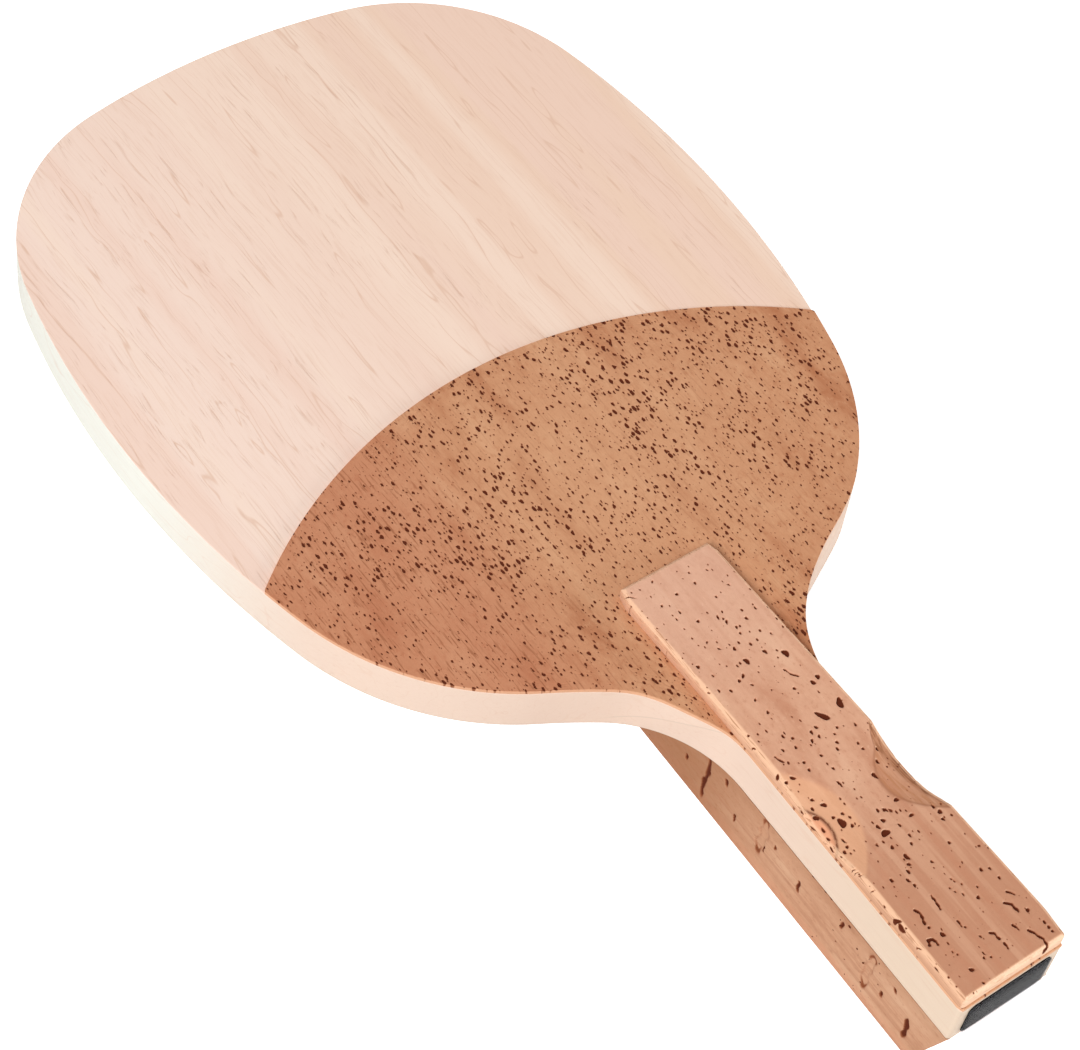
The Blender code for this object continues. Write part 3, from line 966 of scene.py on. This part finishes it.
block = {
    "bottom": 0.01,
    "top": 15.88,
    "length": 93.1,
    "buttSlope": 18.0,
    "hollowRadius": 18.0,
    "hollowHeight": 9.0,
    "notchRadius": 12.0,
    "notchDepth": 6.0,
    "notchStation": 77.7,
    "outerEdge": 0.3,
    "corner": 0.5,
    "step": 0.3,
    "lineHeights": (5.7, 8.4, 9.3, 11.6),
    "lineColour": (176, 118, 86),
    "outerColour": (214, 150, 120),
    "shadeColour": (156, 104, 70),
    "smallDepth": 0.2,
    "relief": 0.05,
    "crowdMove": (1.0, 9.0, 4.0),
    "crowd": (0.7, 1.1),
    "clusters": (),
    "layers": (
        {"cell": 1.0, "stretch": 1.5, "share": 0.35, "radius": 0.24, "blur": 0.06,
         "through": 1.6, "ragged": 0.4, "move": (0.6, 0.4, 0.2)},
        {"cell": 2.4, "stretch": 1.2, "share": 0.22, "radius": 0.22, "blur": 0.06,
         "through": 2.2, "ragged": 0.4, "move": (1.1, 4.3, 0.7)},
    ),
    # long marks on the left side: y, from and to below the block's top, width, pale middle
    "lenticels": (
        (-56.3, 11.5, 24.5, 1.0, 0.0), (-72.0, 10.0, 21.0, 2.2, 1.0),
        (-101.7, 11.0, 22.5, 2.0, 1.0), (-112.7, 16.0, 22.5, 1.1, 0.0),
        (-47.2, 13.0, 16.0, 0.7, 0.0), (-50.7, 17.5, 19.5, 0.6, 0.0),
        (-61.2, 12.0, 14.0, 0.7, 0.0), (-65.2, 18.0, 20.5, 0.6, 0.0),
        (-75.2, 13.5, 15.0, 0.6, 0.0), (-82.7, 15.0, 18.5, 0.7, 0.0),
        (-93.7, 12.0, 14.5, 0.7, 0.0), (-105.7, 17.0, 19.0, 0.6, 0.0),
        (-108.2, 12.5, 14.0, 0.6, 0.0),
    ),
}


# The points that round a corner
def softCorner(before, corner, after):
    shares = np.array((0.25, 0.5, 0.75))[:, None]
    return before * (1 - shares) ** 2 + corner * 2 * shares * (1 - shares) + after * shares ** 2


def blockRing(z):
    chord = sqrt(block["hollowRadius"] ** 2 - block["hollowHeight"] ** 2)
    hollowY = buttY + block["length"] + chord
    headY = hollowY - sqrt(block["hollowRadius"] ** 2 - (z - block["hollowHeight"]) ** 2)
    buttEndY = buttY + 0.05 + (blade["bottom"] - z) * tan(radians(block["buttSlope"]))
    notchY = buttY + block["notchStation"]
    r = block["notchRadius"]
    notchX = halfWidthAt(notchY) - block["notchDepth"] + r

    def rightAt(y):
        reach = np.clip(np.abs(y - notchY), 0, r)
        return smoothMin(halfWidthAt(y), notchX - np.sqrt(r * r - reach * reach), 0.5)

    def wallAcross(start, end, y):
        return np.column_stack((np.linspace(start, end, 70), np.full(70, y)))

    c = block["corner"]
    along = np.linspace(buttEndY + c, headY - c, int(block["length"] / block["step"]))
    leftWall = np.column_stack((-halfWidthAt(along), along))
    rightWall = np.column_stack((rightAt(along), along))[::-1]
    headWall = wallAcross(-halfWidthAt(headY) + c, float(rightAt(np.array(headY))) - c, headY)
    buttWall = wallAcross(halfWidthAt(buttEndY) - c, -halfWidthAt(buttEndY) + c, buttEndY)
    walls = (leftWall, headWall, rightWall, buttWall)
    corners = ((leftWall[-1][0], headY), (rightWall[0][0], headY),
               (rightWall[-1][0], buttEndY), (leftWall[0][0], buttEndY))
    rows = []
    for wall, corner, following in zip(walls, np.array(corners), walls[1:] + walls[:1]):
        rows += [wall, softCorner(wall[-1], corner, following[0])]
    return np.vstack(rows), len(leftWall)


# Long marks on the left side: how deep, and how dark
def lenticelMarks(y, z):
    depth = np.zeros_like(y)
    dark = np.zeros_like(y)
    below = blade["top"] - z
    for index, (markY, top, foot, width, pale) in enumerate(block["lenticels"]):
        middle, half = (top + foot) / 2, (foot - top) / 2
        sway = 0.2 * np.sin(below * 0.7 + index) + 0.05 * np.sin(below * 2.7 + 2 * index)
        size = width / 2 * (1 + 0.25 * np.sin(below * 1.7 + 3 * index))
        u = (y - markY - sway) / size
        v = (below - middle) / half
        r = np.sqrt(u * u + v ** 4)
        inside = smoothStep((1.15 - r) / 0.55)
        depth = np.maximum(depth, inside)
        ends = 0.3 + 0.7 * smoothStep((np.abs(v) - 0.5) / 0.3) if pale else 1.0
        rim = 0.7 * inside * ends * (1 - pale * smoothStep((0.85 - r) / 0.35))
        dark = np.maximum(dark, rim)
    return depth, dark


def makeBlock():
    low, high, e = block["bottom"], block["top"], block["outerEdge"]
    heights = [low + e * (1 - cos(radians(a))) for a in (0, 22, 45, 67)]
    heights += list(np.linspace(low + e, high, int((high - low - e) / block["step"]) + 1))
    rings, darks = [], []
    for z in heights:
        points, leftCount = blockRing(z)
        fall = max(0.0, e - (z - low))
        points = inset(points, e - sqrt(e * e - fall * fall))
        y = points[:leftCount, 1]
        depth, dark = lenticelMarks(y, np.full(leftCount, z))
        points[:leftCount, 0] += 0.35 * depth
        rings.append(level(points, z))
        darks += list(dark) + [0.0] * (len(points) - leftCount)
    piece = loft("hook_block_cork", rings)
    addAttribute(piece, "pore", darks)
    inner = [float(low + 0.4 < z < high - 0.2) for z in heights]
    addAttribute(piece, "carve", np.repeat(inner, len(rings[0])))
    return piece


def makeBlockMaterial():
    material, coords, shader, colour, cells = startCork("block", (1.3, 0.7, 1.3))
    _, y, z = axes(coords)
    waves = noise(coords, (0.1, 0.05, 0.1), detail=1.0, move=(3, 3, 3))
    height = maths("ADD", z, times(waves, 2.4))
    growth = noise(coords, (0.5, 0.015, 0.9), move=(5, 5, 2))
    nearness = [maths("ABSOLUTE", maths("SUBTRACT", height, line)) for line in block["lineHeights"]]
    colour = overlay(
        colour,
        (times(between(height, 4.4, 3.6), 0.25), block["outerColour"]),
        # painted shade under the neck and, weaker, along the top below the core
        (between(y, -78, -50, 0.0, 0.7), block["shadeColour"]),
        (between(z, 12.5, 15.5, 0.0, 0.25), block["shadeColour"]),
        *[(between(near, 0.16, 0.0, 0.0, 0.4), block["lineColour"]) for near in nearness],
        (between(growth, 0.52, 0.7, 0.0, 0.4), cork["block"][1]),
    )
    pores = maths("MAXIMUM", allPores(coords, block), attribute(coords, "pore"))
    finishCork(shader, colour, cells, pores)
    return material


print("finger block")
place(makeBlock(), "hook_block", makeBlockMaterial(), block)


# Badge: black film under clear domed resin

badge = {
    "width": 18.4,
    "height": 9.0,
    "corner": 1.6,
    "middleZ": 20.9,
    # how far out from the butt: the film's two faces, and the resin's back, shoulder and crown
    "film": (0.02, 0.17),
    "resin": (0.19, 0.42, 0.66),
    "filmInset": 0.1,
    "filmColour": (14, 13, 14),
    "fleckColour": (24, 24, 27),
    "resinColour": (200, 200, 204),
    "resinIor": 1.01,
    "coat": {"Coat Weight": 0.15, "Coat IOR": 1.3, "Coat Roughness": 0.04},
}


def badgeOutline():
    x, y, r = badge["width"] / 2, badge["height"] / 2, badge["corner"]
    points = arc((x - r, y - r), r, pi / 2, pi / 2) + arc((x - r, r - y), r, 0.0, pi / 2)
    points += arc((r - x, r - y), r, -pi / 2, pi / 2) + arc((r - x, y - r), r, pi, pi / 2)
    return np.array([p for i, p in enumerate(points) if i == 0 or p != points[i - 1]])


# Stands a ring out from the butt end
def onButt(points, out):
    x, z = points.T
    return np.column_stack((x, np.full(len(x), buttY - out), z + badge["middleZ"]))


def makeFilm():
    outline = inset(badgeOutline(), badge["filmInset"])
    return loft("badge_film", [onButt(outline, out) for out in badge["film"]])


# The dome's lower rings follow the outline, and the upper ones shrink towards the middle
def makeResin():
    outline = badgeOutline()
    back, shoulder, crown = badge["resin"]
    rings = [onButt(outline, back), onButt(outline, shoulder)]
    for share in (0.06, 0.15, 0.3, 0.5, 0.7, 0.85):
        if share < 0.3:
            ring = inset(outline, share * 4.3)
        else:
            ring = inset(outline, 1.2) * (1 - (share - 0.28) * 0.9)
        rise = sqrt(1 - (1 - share) ** 2)
        rings.append(onButt(ring, shoulder + (crown - shoulder) * rise))
    return loft("badge_resin", rings)


def makeFilmMaterial():
    material, coords, shader = startMaterial("badgeFilm")
    fleck = noise(coords, (0.9, 0.9, 0.9), detail=1.0)
    fill(shader, {
        "Base Color": mix(between(fleck, 0.4, 0.8), badge["filmColour"], badge["fleckColour"]),
        "Roughness": between(fleck, 0.3, 0.7, 0.28, 0.42),
        "Specular IOR Level": 0.0,
    })
    return material


def makeResinMaterial():
    material, coords, shader = startMaterial("badgeResin")
    wave = noise(coords, (0.35, 0.35, 0.35), detail=1.0)
    fill(shader, {
        "Base Color": toLinear(badge["resinColour"]),
        "Transmission Weight": 1.0,
        "IOR": badge["resinIor"],
        "Roughness": between(wave, 0.3, 0.7, 0.03, 0.07),
        "Normal": bump(wave, 0.03),
        **badge["coat"],
    })
    return material


print("badge")
place(makeFilm(), "badge_plate", makeFilmMaterial())
place(makeResin(), "badge_lens", makeResinMaterial())


# Floor, light and camera

studio = {
    "floorSize": 3.0,
    "floorZ": -0.00005,
    "floorColour": (232, 232, 232),
    "floorGlow": 0.75,
    "sky": 0.3,
    # where each lamp stands, its size and power
    "lamps": {
        "key": ((-1.17, -0.54, 1.275), (0.6, 0.6), 27.2),
        "fill": ((0.7, 0.5, 0.9), (0.9, 0.9), 1.7),
        "side": ((1.0, -0.7, 0.25), (0.6, 0.4), 7.5),
    },
    "lens": 98.155,
    "sensor": 36.0,
    "cameraPlace": (-0.23410, -0.22737, 0.44614),
    # the camera's right, up and back
    "cameraAxes": (
        (0.80238, -0.58570, 0.11469),
        (0.42109, 0.69175, 0.58665),
        (-0.42294, -0.42242, 0.80168),
    ),
}


# One value for what the camera, gloss and glass see, another for the light that falls
def seenDirectly(tree, seen, other):
    path = tree.nodes.new("ShaderNodeLightPath").outputs
    direct = maths("MAXIMUM", path["Is Camera Ray"], path["Is Glossy Ray"])
    direct = maths("MAXIMUM", direct, path["Is Transmission Ray"])
    return between(direct, 0.0, 1.0, other, seen)


def addFloor():
    mesh = bpy.data.meshes.new("floor")
    size, z = studio["floorSize"], studio["floorZ"]
    corners = [(-size, -size, z), (size, -size, z), (size, size, z), (-size, size, z)]
    mesh.from_pydata(corners, [], [(0, 1, 2, 3)])
    floor = addToScene("floor", mesh)
    material = bpy.data.materials.new("paleFloor")
    material.use_nodes = True
    tree = material.node_tree
    tree.nodes.clear()
    diffuse = tree.nodes.new("ShaderNodeBsdfDiffuse")
    diffuse.inputs["Color"].default_value = toLinear(studio["floorColour"])
    glow = addNode("ShaderNodeEmission", {"Strength": seenDirectly(tree, studio["floorGlow"], 0.0)})
    both = addNode("ShaderNodeAddShader", {0: diffuse.outputs[0], 1: glow.outputs[0]})
    addNode("ShaderNodeOutputMaterial", {"Surface": both.outputs[0]})
    mesh.materials.append(material)


def addSky():
    world = bpy.data.worlds.new("sky")
    bpy.context.scene.world = world
    world.use_nodes = True
    strength = seenDirectly(world.node_tree, 1.0, studio["sky"])
    background = world.node_tree.nodes["Background"]
    fill(background, {"Color": (1.0, 1.0, 1.0, 1.0), "Strength": strength})


def addLamp(name, where, size, power):
    light = bpy.data.lights.new(name, "AREA")
    light.shape = "RECTANGLE"
    light.size, light.size_y = size
    light.energy = power
    lamp = addToScene(name, light)
    lamp.location = where
    lamp.rotation_euler = (-Vector(where)).to_track_quat("-Z", "Y").to_euler()


def addCamera():
    data = bpy.data.cameras.new("camera")
    data.lens = studio["lens"]
    data.sensor_width = studio["sensor"]
    camera = addToScene("camera", data)
    turn = Matrix([Vector(axis) for axis in studio["cameraAxes"]]).transposed().to_4x4()
    camera.matrix_world = Matrix.Translation(studio["cameraPlace"]) @ turn
    bpy.context.scene.camera = camera


print("studio")
addFloor()
addSky()
for name, values in studio["lamps"].items():
    addLamp(name, *values)
addCamera()
bpy.context.scene.view_settings.view_transform = "Standard"

print("finished")
